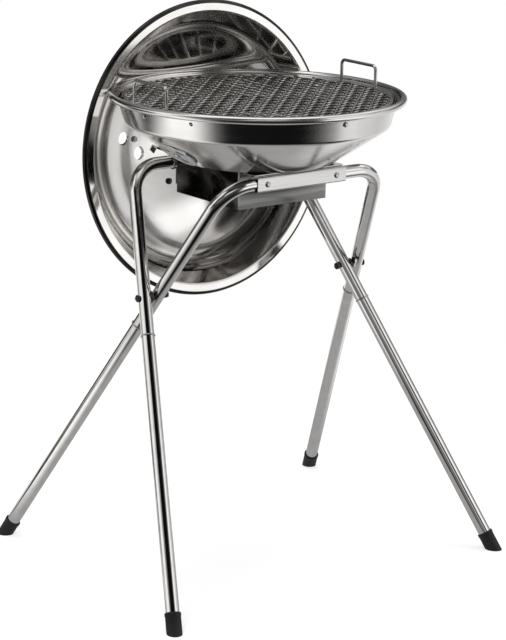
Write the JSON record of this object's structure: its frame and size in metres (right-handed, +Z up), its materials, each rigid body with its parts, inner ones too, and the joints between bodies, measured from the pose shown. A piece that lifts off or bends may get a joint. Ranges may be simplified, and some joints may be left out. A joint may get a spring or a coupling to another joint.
{
  "type": "folding charcoal grill",
  "caption": "Shallow round charcoal grill bowl on a folding crossed-leg tube stand, with wire grates, dampers and a domed lid hung on the rim behind the bowl.",
  "frame": {"origin": "middle of the footprint box, on the floor", "axes": "+Z up, +X to the right along the stand's bars, +Y to the rear, where the lid hangs"},
  "size_m": [0.5326, 0.4344, 0.6701],
  "materials": {
    "bowl_steel": "satin polished",
    "lid_steel": "polished",
    "sheet_steel": "satin",
    "tube_steel": "polished",
    "collar_steel": "satin",
    "rubber_caps": "matte",
    "damper_steel": "polished",
    "grate_wire": "bright",
    "handle_wire": "polished",
    "screw_steel": "bright",
    "black_hardware": "satin black",
    "black_plastic": "matte"
  },
  "bodies": {
    "base": {"fire_bowl": "bowl_steel", "base_box": "sheet_steel", "bowl_screws": "screw_steel", "bowl_nuts": "screw_steel", "rear_sleeve": "sheet_steel", "sleeve_rivets": "screw_steel", "grate_brackets": "screw_steel", "bracket_screws": "screw_steel", "bracket_nuts": "screw_steel", "bowl_damper_rivet": "screw_steel"},
    "bowl_damper": {"bowl_damper": "damper_steel"},
    "rear_frame": {"rear_bar_frame": "tube_steel", "pivot_bolts": "black_hardware", "pivot_spacers": "black_plastic", "pivot_nuts": "black_hardware"},
    "front_frame": {"front_bar_frame": "tube_steel", "front_clip": "sheet_steel", "clip_rivets": "screw_steel"},
    "cooking_grate": {"cooking_grate": "grate_wire", "grate_handle_left": "handle_wire", "grate_handle_right": "handle_wire"},
    "charcoal_grate": {"charcoal_grate": "grate_wire"},
    "lid": {"lid_shell": "lid_steel", "lid_handle": "handle_wire", "handle_screws": "screw_steel", "lid_damper_rivet": "screw_steel"},
    "lid_damper": {"lid_damper": "damper_steel"},
    "lower_leg_front_left": {"leg_front_left": "tube_steel", "collar_front_left": "collar_steel", "cap_front_left": "rubber_caps"},
    "lower_leg_front_right": {"leg_front_right": "tube_steel", "collar_front_right": "collar_steel", "cap_front_right": "rubber_caps"},
    "lower_leg_rear_left": {"leg_rear_left": "tube_steel", "collar_rear_left": "collar_steel", "cap_rear_left": "rubber_caps"},
    "lower_leg_rear_right": {"leg_rear_right": "tube_steel", "collar_rear_right": "collar_steel", "cap_rear_right": "rubber_caps"}
  },
  "joints": [
    {"name": "stand_fold", "type": "hinge", "parent": "base", "child": "rear_frame", "pos_m": [0, 0.07258, 0.4797], "axis": [-1, 0, 0], "range_deg": [0, 35]},
    {"name": "front_fold", "type": "hinge", "parent": "rear_frame", "child": "front_frame", "pos_m": [0, -0.00892, 0.33933], "axis": [1, 0, 0], "range_deg": [0, 70]},
    {"name": "cooking_grate_lift", "type": "slide", "parent": "base", "child": "cooking_grate", "axis": [0, -0.342, 0.9397], "range_m": [0, 0.03]},
    {"name": "charcoal_grate_lift", "type": "slide", "parent": "base", "child": "charcoal_grate", "axis": [0, 0, 1], "range_m": [0, 0.034]},
    {"name": "bowl_damper_turn", "type": "hinge", "parent": "base", "child": "bowl_damper", "pos_m": [-0.11993, -0.01311, 0.50799], "axis": [-0.5638, -0.0197, -0.8257], "range_deg": [-60, 0]},
    {"name": "lid_lift", "type": "slide", "parent": "base", "child": "lid", "axis": [0, 0.7071, 0.7071], "range_m": [0, 0.15]},
    {"name": "lid_damper_turn", "type": "hinge", "parent": "lid", "child": "lid_damper", "pos_m": [-0.052, 0.17445, 0.48963], "axis": [-0.1537, 0.9876, -0.0307], "range_deg": [-4, 56]},
    {"name": "leg_pull_front_left", "type": "slide", "parent": "rear_frame", "child": "lower_leg_front_left", "axis": [-0.2307, -0.4886, -0.8415], "range_m": [0, 0.04]},
    {"name": "leg_pull_front_right", "type": "slide", "parent": "rear_frame", "child": "lower_leg_front_right", "axis": [0.2307, -0.4886, -0.8415], "range_m": [0, 0.04]},
    {"name": "leg_pull_rear_left", "type": "slide", "parent": "front_frame", "child": "lower_leg_rear_left", "axis": [-0.2307, 0.4886, -0.8415], "range_m": [0, 0.04]},
    {"name": "leg_pull_rear_right", "type": "slide", "parent": "front_frame", "child": "lower_leg_rear_right", "axis": [0.2307, 0.4886, -0.8415], "range_m": [0, 0.04]}
  ],
  "couplings": [
    {"joint": "front_fold", "follows": "stand_fold", "ratio": 2}
  ]
}
